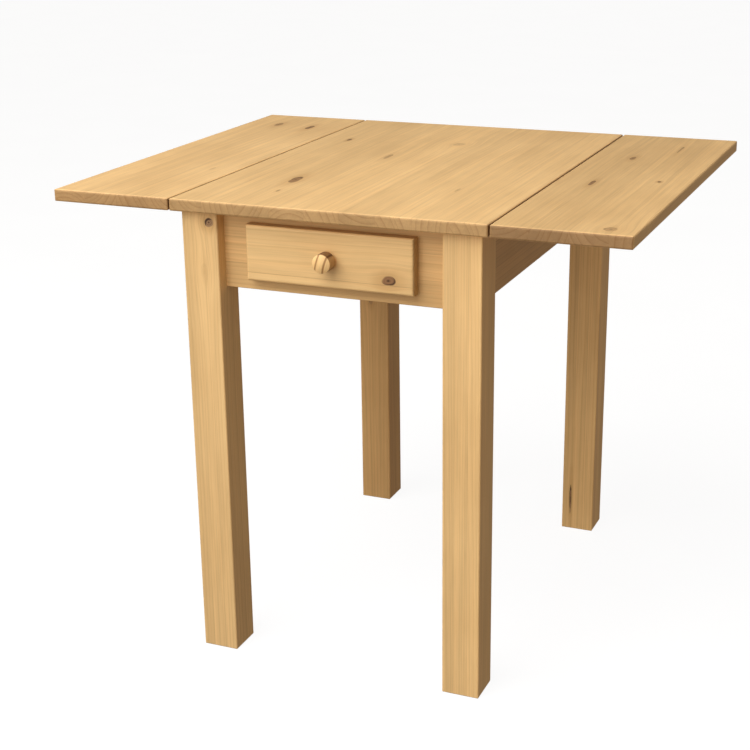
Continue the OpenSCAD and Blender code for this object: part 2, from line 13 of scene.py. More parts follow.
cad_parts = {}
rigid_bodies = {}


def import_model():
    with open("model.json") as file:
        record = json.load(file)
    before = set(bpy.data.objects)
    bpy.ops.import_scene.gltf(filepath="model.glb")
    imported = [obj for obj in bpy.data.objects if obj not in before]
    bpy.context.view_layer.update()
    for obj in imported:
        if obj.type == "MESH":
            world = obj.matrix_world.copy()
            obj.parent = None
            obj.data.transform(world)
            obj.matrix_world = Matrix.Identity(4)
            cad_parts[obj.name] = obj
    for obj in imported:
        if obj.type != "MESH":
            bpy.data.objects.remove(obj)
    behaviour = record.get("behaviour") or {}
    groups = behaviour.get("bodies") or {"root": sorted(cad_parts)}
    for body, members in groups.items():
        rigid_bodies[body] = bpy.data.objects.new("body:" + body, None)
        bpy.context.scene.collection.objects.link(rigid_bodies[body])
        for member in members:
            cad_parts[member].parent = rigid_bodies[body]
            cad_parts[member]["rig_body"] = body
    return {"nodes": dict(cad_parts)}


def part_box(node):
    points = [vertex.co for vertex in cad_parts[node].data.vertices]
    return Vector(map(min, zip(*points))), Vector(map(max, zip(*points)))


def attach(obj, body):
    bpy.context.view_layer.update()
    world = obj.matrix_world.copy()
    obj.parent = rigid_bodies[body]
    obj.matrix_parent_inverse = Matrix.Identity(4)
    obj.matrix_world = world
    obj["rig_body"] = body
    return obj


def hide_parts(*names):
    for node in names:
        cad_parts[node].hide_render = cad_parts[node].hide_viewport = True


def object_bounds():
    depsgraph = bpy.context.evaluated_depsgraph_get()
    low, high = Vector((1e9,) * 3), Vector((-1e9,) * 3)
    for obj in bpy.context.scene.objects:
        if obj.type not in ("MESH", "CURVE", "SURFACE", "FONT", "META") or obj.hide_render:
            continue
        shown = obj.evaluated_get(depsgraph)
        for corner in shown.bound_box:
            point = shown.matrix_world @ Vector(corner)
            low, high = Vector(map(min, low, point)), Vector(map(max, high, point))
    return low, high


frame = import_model()
cad_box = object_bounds()
nodes = frame["nodes"]
table_low, table_high = cad_box
print("table", [round(size, 4) for size in table_high - table_low], "metres,", len(nodes), "nodes")

# %% [markdown]
# ## From a bmesh to an object
# A bmesh is Blender's workbench for mesh code: shapes are made and changed there, and then written
# to a mesh that an object shows. Every new piece of this lesson is finished by the same few lines.

# %% A helper that turns a bmesh into an object
def object_from_bmesh(name, mesh_builder):
    """Writes a bmesh to a new object at the origin and frees it."""
    mesh = bpy.data.meshes.new(name)
    mesh_builder.to_mesh(mesh)
    mesh_builder.free()
    made = bpy.data.objects.new(name, mesh)
    bpy.context.scene.collection.objects.link(made)
    return made


# %% [markdown]
# ## The studio
# A product shot needs little: a pale floor, one large soft light and some fill. The floor is a very
# wide disc, so that its edge is never seen. A bright sky could light everything, but a pale sphere
# that only the camera sees keeps the shaded faces of the table rich and dark.

# %% The floor and the backdrop
FLOOR_RADIUS = 40.0

builder = bmesh.new()
bmesh.ops.create_circle(builder, cap_ends=True, segments=96, radius=FLOOR_RADIUS)
floor = object_from_bmesh("studio_floor", builder)
floor.visible_diffuse = False
floor.visible_glossy = False

builder = bmesh.new()
bmesh.ops.create_uvsphere(builder, u_segments=64, v_segments=32, radius=FLOOR_RADIUS * 0.99)
bmesh.ops.reverse_faces(builder, faces=builder.faces)
backdrop = object_from_bmesh("studio_backdrop", builder)
backdrop.visible_diffuse = False
backdrop.visible_glossy = False
backdrop.visible_shadow = False
backdrop.visible_transmission = False
print("floor", FLOOR_RADIUS, "metres in radius")

# %% [markdown]
# ## Talking to the node editor
# A procedural material is a graph of small sums. These helpers add one node each and return its
# output, so that the materials below can be read like formulas. A value that varies over the wood
# arrives as a socket, and a plain number is typed into the node.

# %% Node helpers
def plug(tree, socket, value):
    """Links a socket to an input, or types a plain value into it."""
    if isinstance(value, bpy.types.NodeSocket):
        tree.links.new(value, socket)
    else:
        socket.default_value = value


def calc(tree, operation, *values, clamp=False):
    """One Math node."""
    node = tree.nodes.new("ShaderNodeMath")
    node.operation = operation
    node.use_clamp = clamp
    for socket, value in zip(node.inputs, values):
        plug(tree, socket, value)
    return node.outputs[0]


def join_xyz(tree, x, y, z):
    """Three numbers as one vector."""
    node = tree.nodes.new("ShaderNodeCombineXYZ")
    for socket, value in zip(node.inputs, (x, y, z)):
        plug(tree, socket, value)
    return node.outputs[0]


def split_xyz(tree, vector):
    """One vector as three numbers."""
    node = tree.nodes.new("ShaderNodeSeparateXYZ")
    tree.links.new(vector, node.inputs[0])
    return node.outputs[0], node.outputs[1], node.outputs[2]


def noise(tree, vector, scale, detail=2.0, roughness=0.5):
    """Soft random blotches from 0 to 1."""
    node = tree.nodes.new("ShaderNodeTexNoise")
    tree.links.new(vector, node.inputs["Vector"])
    node.inputs["Scale"].default_value = scale
    node.inputs["Detail"].default_value = detail
    node.inputs["Roughness"].default_value = roughness
    return node.outputs["Fac"]


def blend_range(tree, value, low, high, out_low=0.0, out_high=1.0):
    """Maps a value smoothly from one range to another and holds it there."""
    node = tree.nodes.new("ShaderNodeMapRange")
    node.interpolation_type = "SMOOTHSTEP"
    for socket, number in zip(node.inputs, (value, low, high, out_low, out_high)):
        plug(tree, socket, number)
    return node.outputs[0]


def mix_colour(tree, factor, first, second, kind="MIX"):
    """Mixes two colours, or multiplies them."""
    node = tree.nodes.new("ShaderNodeMix")
    node.data_type = "RGBA"
    node.blend_type = kind
    plug(tree, node.inputs["Factor"], factor)
    plug(tree, node.inputs[6], first)
    plug(tree, node.inputs[7], second)
    return node.outputs[2]


def ramp(tree, factor, stops):
    """A Color Ramp with grey or coloured stops, each (position, value)."""
    node = tree.nodes.new("ShaderNodeValToRGB")
    tree.links.new(factor, node.inputs[0])
    elements = node.color_ramp.elements
    while len(elements) < len(stops):
        elements.new(0.5)
    for element, (position, value) in zip(elements, stops):
        element.position = position
        element.color = value if isinstance(value, tuple) else (value, value, value, 1.0)
    return node.outputs["Color"]


def start_material(name):
    """A new material with its tree, its shader and its object coordinates."""
    material = bpy.data.materials.new(name)
    material.use_nodes = True
    tree = material.node_tree
    shader = tree.nodes["Principled BSDF"]
    place = tree.nodes.new("ShaderNodeTexCoord")
    return material, tree, shader, place


# %% [markdown]
# ## Pine, from the log to the board
# A board is a piece of a tree, so the pattern is made like one. Growth rings are tubes round the
# pith, and a board cuts through them: along the grain they show as lines and flames, and on a sawn
# end as arcs. If every glued stave has its own pith somewhere below or beside it, faces, edges and
# ends all agree, which no flat image could give.

# %% Board coordinates
AXES = {"x": 0, "y": 1, "z": 2}


def third_axis(grain, across):
    """The number of the axis that runs through the board."""
    return ({0, 1, 2} - {AXES[grain], AXES[across]}).pop()


def board_axes(tree, place, grain, across, lean=None):
    """Object coordinates, sorted into along the grain, across the staves and through the board."""
    spot = place.outputs["Object"]
    if lean:
        turned = tree.nodes.new("ShaderNodeMapping")
        turned.vector_type = "TEXTURE"
        turned.inputs["Location"].default_value = lean[0]
        turned.inputs["Rotation"].default_value = lean[1]
        tree.links.new(spot, turned.inputs["Vector"])
        spot = turned.outputs[0]
    xyz = split_xyz(tree, spot)
    return xyz[AXES[grain]], xyz[AXES[across]], xyz[third_axis(grain, across)]


def facing_axis(tree, place, axis):
    """How much a face looks along an axis, either way, from 0 to 1."""
    return calc(tree, "ABSOLUTE", split_xyz(tree, place.outputs["Normal"])[axis])


# %% [markdown]
# ### Staves
# Wide boards are glued up from narrow staves. The number of the stave picks three random numbers,
# which later move its pith and tint its colour. The glue line is the narrow band at its edge.

# %% Staves and glue lines
def staves(tree, across, width, start, seed):
    """Returns the place inside the stave, its random numbers and a mask of the glue lines."""
    counted = calc(tree, "DIVIDE", calc(tree, "SUBTRACT", across, start), width)
    number = calc(tree, "FLOOR", counted)
    part = calc(tree, "SUBTRACT", calc(tree, "SUBTRACT", counted, number), 0.5)
    inside = calc(tree, "MULTIPLY", part, width)
    dice = tree.nodes.new("ShaderNodeTexWhiteNoise")
    dice.noise_dimensions = "1D"
    plug(tree, dice.inputs["W"], calc(tree, "ADD", number, seed))
    chances = split_xyz(tree, dice.outputs["Color"])
    from_edge = calc(tree, "SUBTRACT", width / 2, calc(tree, "ABSOLUTE", inside))
    glue = blend_range(tree, from_edge, 0.0, 0.0006, 1.0, 0.0)
    return inside, chances, glue


# %% [markdown]
# ### Knots
# A knot is a branch that the trunk grew round. Its fibres part and flow past it, so besides a dark
# disc each knot bends the coordinate across the grain. Distance is measured in knot radii, so a knot
# is one short list of numbers: its place, its two radii and its darkness.

# %% Knots and the grain that flows round them
KNOT_WOBBLE = 0.8
KNOT_PULL = 0.35


def squares(tree, first, second):
    """The sum of two squares."""
    return calc(tree, "ADD", calc(tree, "MULTIPLY", first, first), calc(tree, "MULTIPLY", second, second))


def add_knots(tree, along, across, knots, crescent):
    """Returns the bent coordinate, and masks of the knots, their bark, halo and rings."""
    wobble = noise(tree, join_xyz(tree, along, across, 0.0), 60.0, 1.0)
    wobble = calc(tree, "MULTIPLY", calc(tree, "SUBTRACT", wobble, 0.5), KNOT_WOBBLE)
    masks = {"disc": 0.0, "bark": 0.0, "halo": 0.0, "rings": 0.0}
    bent = across
    for knot_along, knot_across, long_radius, short_radius, darkness in knots:
        step_across = calc(tree, "SUBTRACT", across, knot_across)
        u = calc(tree, "DIVIDE", calc(tree, "SUBTRACT", along, knot_along), long_radius)
        v = calc(tree, "DIVIDE", step_across, short_radius)
        squared = squares(tree, u, v)
        weaker = calc(tree, "ADD", 1.0, calc(tree, "MULTIPLY", squared, KNOT_PULL))
        pull = calc(tree, "DIVIDE", 1.0, weaker)
        bent = calc(tree, "SUBTRACT", bent, calc(tree, "MULTIPLY", step_across, pull))
        radii = calc(tree, "ADD", calc(tree, "SQRT", squared), wobble)
        uneven = calc(tree, "MULTIPLY", calc(tree, "SUBTRACT", u, v), crescent)
        disc = calc(tree, "MULTIPLY", blend_range(tree, radii, 0.82, 1.08, 1.0, 0.0), darkness)
        heart = blend_range(tree, radii, 0.10, 0.24, 1.0, 0.0)
        rim = blend_range(tree, calc(tree, "ADD", radii, uneven), 0.76, 0.98)
        bark = calc(tree, "MULTIPLY", calc(tree, "MAXIMUM", rim, heart), disc)
        halo = calc(tree, "MULTIPLY", blend_range(tree, radii, 0.9, 3.2, 1.0, 0.0), darkness)
        for key, mask in (("disc", disc), ("bark", bark), ("halo", halo)):
            masks[key] = calc(tree, "MAXIMUM", masks[key], mask)
        masks["rings"] = calc(tree, "ADD", masks["rings"], calc(tree, "MULTIPLY", disc, radii))
    return bent, masks


# %% [markdown]
# ### Growth rings
# The distance from the pith, in ring widths, gives the rings. Pale spring wood turns slowly into a
# dark line of summer wood and then stops sharply, which a Color Ramp draws over each ring. A slow
# wave along the trunk and a small tilt of the pith open the lines into flames, and a little noise
# gives good and bad years, so that no two rings are equally wide.

# %% Growth rings
PITH_SPREAD = 0.22
PITH_NEAREST = 0.012
PITH_DEPTHS = 0.045
PITH_TILT = 0.036
WEATHER = 2.8
ONE_RING = [(0.0, 0.0), (0.50, 0.10), (0.76, 0.40), (0.90, 1.0), (0.96, 0.20), (1.0, 0.0)]


def growth_rings(tree, along, inside, through, chances, ring_width, wildness):
    """Returns the share of dark summer wood, from 0 to 1, for a pith that three dice place."""
    side, depth, lean = chances
    flip = calc(tree, "SUBTRACT", calc(tree, "MULTIPLY", calc(tree, "ROUND", lean), 2.0), 1.0)
    offset = calc(tree, "MULTIPLY", calc(tree, "SUBTRACT", side, 0.5), PITH_SPREAD)
    pith_side = calc(tree, "ADD", inside, offset)
    pith_depth = calc(tree, "ADD", calc(tree, "MULTIPLY", through, flip), PITH_NEAREST)
    pith_depth = calc(tree, "ADD", pith_depth, calc(tree, "MULTIPLY", depth, PITH_DEPTHS))
    tilt = calc(tree, "MULTIPLY", calc(tree, "SUBTRACT", lean, 0.5), PITH_TILT)
    pith_depth = calc(tree, "ADD", pith_depth, calc(tree, "MULTIPLY", along, tilt))
    slow_place = join_xyz(
        tree,
        calc(tree, "ADD", calc(tree, "MULTIPLY", along, 1.5), calc(tree, "MULTIPLY", side, 40.0)),
        calc(tree, "MULTIPLY", inside, 9.0),
        calc(tree, "ADD", calc(tree, "MULTIPLY", through, 9.0), calc(tree, "MULTIPLY", depth, 40.0)),
    )
    wave = calc(tree, "SUBTRACT", noise(tree, slow_place, 1.0, 3.0), 0.5)
    distance = calc(tree, "SQRT", squares(tree, pith_side, pith_depth))
    distance = calc(tree, "ADD", distance, calc(tree, "MULTIPLY", wave, wildness))
    years = calc(tree, "DIVIDE", distance, ring_width)
    weather_place = join_xyz(tree, calc(tree, "MULTIPLY", years, 0.35), depth, side)
    weather = noise(tree, weather_place, 1.0, 1.0)
    years = calc(tree, "ADD", years, calc(tree, "MULTIPLY", weather, WEATHER))
    return ramp(tree, calc(tree, "FRACT", years), ONE_RING)


# %% [markdown]
# ### Worn and lit edges
# Hands rub the corners of furniture pale and smooth, and rounded edges catch the light, so the paleness
# on the edges is partly wear and partly a painted highlight. In a box-shaped board the second smallest of
# the three distances to its faces tells how near an edge is. It is what is left when the smallest and
# the largest are taken from the sum of all three.

# %% Distance to the edges of a board
def near_edges(tree, place, low, high, reach):
    """Returns a mask of the edges of the box from low to high."""
    centre = (low + high) / 2
    half = (high - low) / 2
    gaps = []
    for value, middle, size in zip(split_xyz(tree, place.outputs["Object"]), centre, half):
        offset = calc(tree, "ABSOLUTE", calc(tree, "SUBTRACT", value, middle))
        gaps.append(calc(tree, "SUBTRACT", size, offset))
    total = calc(tree, "ADD", calc(tree, "ADD", gaps[0], gaps[1]), gaps[2])
    least = calc(tree, "MINIMUM", calc(tree, "MINIMUM", gaps[0], gaps[1]), gaps[2])
    most = calc(tree, "MAXIMUM", calc(tree, "MAXIMUM", gaps[0], gaps[1]), gaps[2])
    second = calc(tree, "SUBTRACT", calc(tree, "SUBTRACT", total, least), most)
    return blend_range(tree, second, 0.0, reach, 1.0, 0.0)


# %% [markdown]
# ### Streaks and fibres
# Between the rings, wood is never one colour. Noise that is squeezed across the grain and pulled along
# it becomes streaks, threads and hair-thin fibres, and a nearly round one becomes soft clouds.

# %% Noise stretched along the grain
def stretched(tree, board_place, along_scale, across_scale, lift):
    """Board coordinates scaled apart, so that blotches become streaks along the grain."""
    along, side, through = split_xyz(tree, board_place)
    along = calc(tree, "MULTIPLY", along, along_scale)
    side = calc(tree, "MULTIPLY", side, across_scale)
    through = calc(tree, "MULTIPLY", through, across_scale)
    return join_xyz(tree, along, side, calc(tree, "ADD", through, lift))


def grain_noise(tree, board_place, stave_chance, seed):
    """Returns streaks, threads, fibres and clouds."""
    lift = calc(tree, "MULTIPLY", stave_chance, 17.0)
    streaks = noise(tree, stretched(tree, board_place, 3.0, 70.0, lift), 1.0, 3.0, 0.6)
    threads = noise(tree, stretched(tree, board_place, 5.0, 330.0, lift), 1.0, 2.0, 0.5)
    fibres = noise(tree, stretched(tree, board_place, 22.0, 900.0, lift), 1.0, 2.0, 0.6)
    clouds = noise(tree, stretched(tree, board_place, 5.0, 9.0, seed), 1.0, 3.0, 0.55)
    return streaks, threads, fibres, clouds


# %% [markdown]
# ### Colours of pine
# Waxed pine is honey-coloured, its summer wood is amber, and its knots go from brown to nearly black.
# All of them are linear values, as the shader wants them. A tint above one makes wood paler.

# %% Colours
SPRING_WOOD = (0.860, 0.580, 0.270, 1.0)
SUMMER_WOOD = (0.500, 0.255, 0.080, 1.0)
KNOT_WOOD = (0.170, 0.075, 0.030, 1.0)
KNOT_PALE = (0.310, 0.155, 0.075, 1.0)
BARK = (0.040, 0.018, 0.009, 1.0)
RESIN = (0.640, 0.520, 0.400, 1.0)
GLUE = (0.330, 0.180, 0.075, 1.0)
# The next colour makes edges paler, partly as wear and partly as a painted highlight where rounded edges
# catch the light.
RUBBED_AND_HIGHLIGHT = (1.180, 1.160, 1.130, 1.0)
# The next colour is painted shade for the walls of the narrow gaps in the top.
GAP_SHADE = (0.290, 0.210, 0.160, 1.0)
SAWN_TINT = (0.620, 0.590, 0.570, 1.0)
WARM_CLOUD = (1.03, 0.99, 0.93, 1.0)
COOL_CLOUD = (0.98, 1.01, 1.05, 1.0)
NO_TINT = (1.0, 1.0, 1.0, 1.0)
print("linear colour of spring wood", SPRING_WOOD[:3])

# %% [markdown]
# ### Layers of colour
# A painter lays glazes over a ground, and so do these functions. Blotches make the plain wood paler or
# darker by a few percent each, and a stain multiplies the colour only where its mask is white. The walls of
# the narrow gaps get painted shade in the same way.

# %% Glazes, stains and painted shade
def glaze(tree, factor, colour, tint):
    """Multiplies a colour by a tint where the factor says so."""
    return mix_colour(tree, factor, colour, mix_colour(tree, 1.0, colour, tint, "MULTIPLY"))


def plain_wood(tree, rings, strength, blotches, clouds, tint):
    """Spring and summer wood, shaded by blotches that each have a contrast."""
    share = calc(tree, "MULTIPLY", rings, strength, clamp=True)
    colour = mix_colour(tree, share, SPRING_WOOD, SUMMER_WOOD)
    shade = 1.0
    for blotch, contrast in blotches:
        part = calc(tree, "ADD", 1.0 - contrast / 2, calc(tree, "MULTIPLY", blotch, contrast))
        shade = calc(tree, "MULTIPLY", shade, part)
    warmth = mix_colour(tree, clouds, WARM_CLOUD, COOL_CLOUD)
    for layer in (join_xyz(tree, shade, shade, shade), warmth, tint):
        colour = mix_colour(tree, 1.0, colour, layer, "MULTIPLY")
    return colour


def shade_gap_walls(tree, colour, facing, side, reach):
    """Painted shade on the upright walls that are closer to the middle of the table than the reach, where
    the narrow gap is dark.
    """
    wall = blend_range(tree, facing, 0.60, 0.95)
    near = blend_range(tree, calc(tree, "ABSOLUTE", side), reach, reach + 0.001, 1.0, 0.0)
    return glaze(tree, calc(tree, "MULTIPLY", wall, near), colour, GAP_SHADE)


def colour_knots(tree, colour, masks, knot_pale):
    """Lays resin, knot wood with its circles, and bark over the wood."""
    colour = glaze(tree, calc(tree, "MULTIPLY", masks["halo"], 0.50), colour, RESIN)
    circles = calc(tree, "SINE", calc(tree, "MULTIPLY", masks["rings"], 19.0))
    circles = calc(tree, "ADD", 0.42, calc(tree, "MULTIPLY", circles, 0.22))
    colour = mix_colour(tree, masks["disc"], colour, mix_colour(tree, circles, KNOT_WOOD, knot_pale))
    return mix_colour(tree, calc(tree, "MULTIPLY", masks["bark"], 0.90), colour, BARK)


# %% [markdown]
# ### Gloss and relief
# Light catches grain that a finger can feel. The same masks that colour the wood drive its roughness
# and a very low bump, so a dark ring is also a ridge, and a rubbed edge is smoother than a sawn end.

# %% Gloss and relief of waxed pine
BUMP_HEIGHT = 0.00025


def add_bump(tree, shader, height, strength, distance):
    """A Bump node between a height and the shader."""
    bump = tree.nodes.new("ShaderNodeBump")
    bump.inputs["Strength"].default_value = strength
    bump.inputs["Distance"].default_value = distance
    tree.links.new(height, bump.inputs["Height"])
    tree.links.new(bump.outputs["Normal"], shader.inputs["Normal"])


def wax(tree, shader, rings, fibres, sawn, worn_and_highlit):
    """Satin wax, duller on fibres and sawn ends."""
    rough = calc(tree, "ADD", 0.40, calc(tree, "MULTIPLY", fibres, 0.14))
    rough = calc(tree, "SUBTRACT", rough, calc(tree, "MULTIPLY", rings, 0.05))
    rough = calc(tree, "ADD", rough, calc(tree, "MULTIPLY", sawn, 0.15))
    rough = calc(tree, "SUBTRACT", rough, calc(tree, "MULTIPLY", worn_and_highlit, 0.06))
    tree.links.new(rough, shader.inputs["Roughness"])
    shader.inputs["Specular IOR Level"].default_value = 0.30
    shader.inputs["Coat Weight"].default_value = 0.06
    shader.inputs["Coat Roughness"].default_value = 0.28


# %% [markdown]
# ### The pine finish
# Everything meets here. Rings mix spring and summer wood, each stave gets its own tint, streaks run
# with the grain, and the sawn ends drink more wax, so they are darker. One function makes a board of
# any size, because a board's node, grain and seed are all that sets it apart from the next one.

# %% The pine material
def pine(
    name,
    node,
    grain,
    across,
    seed,
    stave_width=10.0,
    stave_start=-5.0,
    ring_width=0.0070,
    wildness=0.012,
    ring_strength=0.30,
    stave_contrast=0.12,
    tint=NO_TINT,
    knots=(),
    lean=None,
    sawn_tint=SAWN_TINT,
    gap_reach=None,
    glue_strength=0.22,
    cloudiness=0.28,
    knot_pale=KNOT_PALE,
    crescent=0.20,
):
    """Pine for one board, cut from its own part of the tree."""
    material, tree, shader, place = start_material(name)
    low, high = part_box(node)
    along, side, through = board_axes(tree, place, grain, across, lean)
    depth_axis = third_axis(grain, across)
    through = calc(tree, "SUBTRACT", through, (low[depth_axis] + high[depth_axis]) / 2)

    # the figure: knots bend the grain, but a glue line stays straight
    bent = side
    if knots:
        bent, masks = add_knots(tree, along, side, knots, crescent)
    inside, chances, glue = staves(tree, side, stave_width, stave_start, seed)
    inside = calc(tree, "ADD", inside, calc(tree, "SUBTRACT", bent, side))
    rings = growth_rings(tree, along, inside, through, chances, ring_width, wildness)
    board_place = join_xyz(tree, along, bent, through)
    streaks, threads, fibres, clouds = grain_noise(tree, board_place, chances[0], seed)
    sawn = blend_range(tree, facing_axis(tree, place, AXES[grain]), 0.45, 0.80)

    # colour, from the plain wood to what lies over it
    strength = calc(tree, "ADD", ring_strength, calc(tree, "MULTIPLY", sawn, 0.30))
    blotches = [(chances[2], stave_contrast), (streaks, 0.32), (threads, 0.22), (fibres, 0.20)]
    blotches.append((clouds, cloudiness))
    colour = plain_wood(tree, rings, strength, blotches, clouds, tint)
    colour = glaze(tree, sawn, colour, sawn_tint)
    # painted shade on the walls of the narrow gaps beside the centre panel
    if gap_reach:
        colour = shade_gap_walls(tree, colour, facing_axis(tree, place, AXES[across]), side, gap_reach)
    colour = mix_colour(tree, calc(tree, "MULTIPLY", glue, glue_strength), colour, GLUE)
    if knots:
        colour = colour_knots(tree, colour, masks, knot_pale)
    # paler edges, partly wear and partly a painted highlight where rounded edges catch the light
    worn_and_highlit = near_edges(tree, place, low, high, 0.005)
    worn_and_highlit = calc(tree, "MULTIPLY", worn_and_highlit, blend_range(tree, clouds, 0.35, 0.65, 0.25, 0.8))
    colour = glaze(tree, worn_and_highlit, colour, RUBBED_AND_HIGHLIGHT)
    tree.links.new(colour, shader.inputs["Base Color"])

    # gloss and relief
    wax(tree, shader, rings, fibres, sawn, worn_and_highlit)
    height = calc(tree, "ADD", calc(tree, "MULTIPLY", rings, 0.5), calc(tree, "MULTIPLY", fibres, 0.5))
    height = calc(tree, "SUBTRACT", height, calc(tree, "MULTIPLY", glue, 0.8))
    if knots:
        height = calc(tree, "SUBTRACT", height, calc(tree, "MULTIPLY", masks["bark"], 0.7))
    add_bump(tree, shader, height, 0.5, BUMP_HEIGHT)
    return material


# %% [markdown]
# ### Dressing a CAD node
# A CAD mesh stays exactly as it is. Only the materials in its slots are exchanged, which is all that
# a finish needs.

# %% Put a material on a node
def dress(node, material):
    """Puts one material on a CAD node, whatever slots its mesh came with."""
    target = nodes[node]
    if not target.material_slots:
        target.data.materials.append(None)
    for slot in target.material_slots:
        slot.material = material


# %% [markdown]
# ## The top
# The centre panel and both leaves are glued from staves about 56 mm wide, with the grain running
# front to back. Their knots are placed one by one, because on a flat top they are what the eye finds
# first. The walls of the 2 mm gap on either side of the centre panel are darkened with painted shade, as a
# deep narrow gap looks dark.

# %% The knots of the top: along, across, two radii and darkness
STAVE = 0.056

centre_knots = [
    (-0.186, -0.132, 0.024, 0.0075, 0.75),
    (0.165, -0.195, 0.009, 0.0030, 0.95),
    (-0.270, -0.121, 0.007, 0.0020, 0.45),
    (0.040, -0.067, 0.020, 0.0040, 0.40),
    (0.185, 0.007, 0.012, 0.0100, 0.22),
    (-0.177, 0.136, 0.014, 0.0020, 0.25),
]
left_knots = [
    (0.270, -0.389, 0.016, 0.0065, 0.55),
    (0.261, -0.319, 0.020, 0.0055, 0.80),
    (-0.150, -0.300, 0.010, 0.0025, 0.20),
]
right_knots = [
    (0.159, 0.324, 0.015, 0.0045, 0.60),
    (-0.058, 0.313, 0.017, 0.0035, 0.75),
    (-0.016, 0.408, 0.0045, 0.0028, 0.95),
    (0.257, 0.382, 0.030, 0.0018, 0.50),
    (-0.345, 0.418, 0.012, 0.0090, 0.35),
]

# %% [markdown]
# ### Three boards, three tints
# The boards come from different trees, so each has its own seed and a tint of its own. The face tints
# also hold painted light that falls off from left to right, so the left leaf is the palest and the right
# leaf the darkest. The end grain has a tint too, and that of the right leaf is the darkest.

# %% The three boards of the top
GAP_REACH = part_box("leaf_right")[0].x + 0.001

# seed, knots, tint of the faces, which also holds painted light, and tint of the sawn ends
top_boards = {
    "centre_top": (11.0, centre_knots, (1.05, 1.06, 1.09, 1.0), (0.55, 0.51, 0.48, 1.0)),
    "leaf_left": (31.0, left_knots, (1.07, 1.08, 1.12, 1.0), (0.50, 0.45, 0.42, 1.0)),
    "leaf_right": (57.0, right_knots, (1.00, 1.00, 1.01, 1.0), (0.42, 0.37, 0.35, 1.0)),
}
for board, (seed, knots, tint, sawn_tint) in top_boards.items():
    finish = pine(
        "pine_" + board,
        board,
        grain="y",
        across="x",
        seed=seed,
        stave_width=STAVE,
        stave_start=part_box(board)[0].x,
        ring_width=0.0095,
        ring_strength=0.17,
        cloudiness=0.40,
        tint=tint,
        knots=knots,
        sawn_tint=sawn_tint,
        gap_reach=GAP_REACH,
    )
    dress(board, finish)
knot_count = len(centre_knots) + len(left_knots) + len(right_knots)
print("top dressed with", knot_count, "knots")

# %% [markdown]
# ## The legs
# Each leg is laminated from upright strips, so the grain stands on end and the strips show as faint
# bands. The front left leg has a loose-looking round knot right under the top.

# %% The four legs
LEG_STRIP = 0.021

leg_knots = {
    "leg_front_left": [(0.7195, -0.1936, 0.0070, 0.0075, 1.0), (0.640, -0.205, 0.016, 0.006, 0.05)],
    "leg_rear_right": [(0.060, 0.196, 0.030, 0.0020, 0.9)],
    "leg_rear_left": [(0.420, -0.215, 0.010, 0.0050, 0.5)],
}
# The rear left leg is made darker as painted shade, as it stands in the shade of the top, and the rear
# right leg is made paler as painted light.
leg_tints_and_painted_light = {
    "leg_front_left": (0.93, 0.94, 0.96, 1.0),
    "leg_front_right": (0.98, 0.98, 0.98, 1.0),
    "leg_rear_left": (0.80, 0.74, 0.68, 1.0),
    "leg_rear_right": (1.05, 1.04, 1.02, 1.0),
}
for number, (leg, tint) in enumerate(leg_tints_and_painted_light.items()):
    finish = pine(
        "pine_" + leg,
        leg,
        grain="z",
        across="x",
        seed=70.0 + 9.0 * number,
        stave_width=LEG_STRIP,
        stave_start=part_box(leg)[0].x - 0.002,
        ring_width=0.0050,
        wildness=0.010,
        ring_strength=0.26,
        stave_contrast=0.14,
        tint=tint,
        knots=leg_knots.get(leg, ()),
        knot_pale=(0.52, 0.33, 0.18, 1.0),
        crescent=0.50,
    )
    dress(leg, finish)
print("legs dressed")

# %% [markdown]
# ## The aprons
# The aprons are glued from three strips of 40 mm, one above the other, and the grain runs along
# them. Their glue lines show more than those of the top, so they get a stronger glue colour.

# %% The four aprons
APRON_STRIP = 0.040

apron_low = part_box("front_apron")[0].z
apron_grains = {"front_apron": "x", "rear_apron": "x", "side_apron_left": "y", "side_apron_right": "y"}
for number, (apron, grain) in enumerate(apron_grains.items()):
    finish = pine(
        "pine_" + apron,
        apron,
        grain=grain,
        across="z",
        seed=130.0 + 7.0 * number,
        stave_width=APRON_STRIP,
        stave_start=apron_low,
        ring_width=0.0060,
        wildness=0.010,
        stave_contrast=0.36,
        glue_strength=0.50,
        tint=(0.76, 0.73, 0.70, 1.0),
    )
    dress(apron, finish)
print(len(apron_grains), "aprons dressed")

# %% [markdown]
# ### The drawer front
# It is a single wide board with a narrow strip glued below it, and it has one brown knot near its
# right end.

# %% The drawer front
FRONT_BOARD = 0.0725
FRONT_STRIP = 0.0135

front_finish = pine(
    "pine_drawer_front",
    "drawer_front",
    grain="x",
    across="z",
    seed=171.0,
    stave_width=FRONT_BOARD,
    stave_start=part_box("drawer_front")[0].z + FRONT_STRIP,
    ring_width=0.0055,
    wildness=0.010,
    ring_strength=0.20,
    glue_strength=0.60,
    tint=(0.93, 0.93, 0.93, 1.0),
    knots=[(0.095, 0.655, 0.0112, 0.0072, 0.90)],
    sawn_tint=(0.66, 0.68, 0.72, 1.0),
)
dress("drawer_front", front_finish)
print("drawer front dressed")

# %% [markdown]
# ## The knob
# The knob is turned from a stick whose grain stands nearly upright across it. Its domed face is long
# grain with two dark ring lines, and its top and bottom are end grain, which is why they look dark.
# The whole turned side is darker still with painted shade.
# A Mapping node of the Texture kind moves the pattern to the knob's middle and leans it a little.

# %% The knob
RING_PLACES = (-0.0068, 0.0058)
RING_CORE = 0.0006
RING_EDGE = 0.0022
RING_TINT = (0.36, 0.24, 0.16, 1.0)
# The next colour is painted shade on the turned side of the knob.
SIDE_SHADE = (0.62, 0.54, 0.48, 1.0)

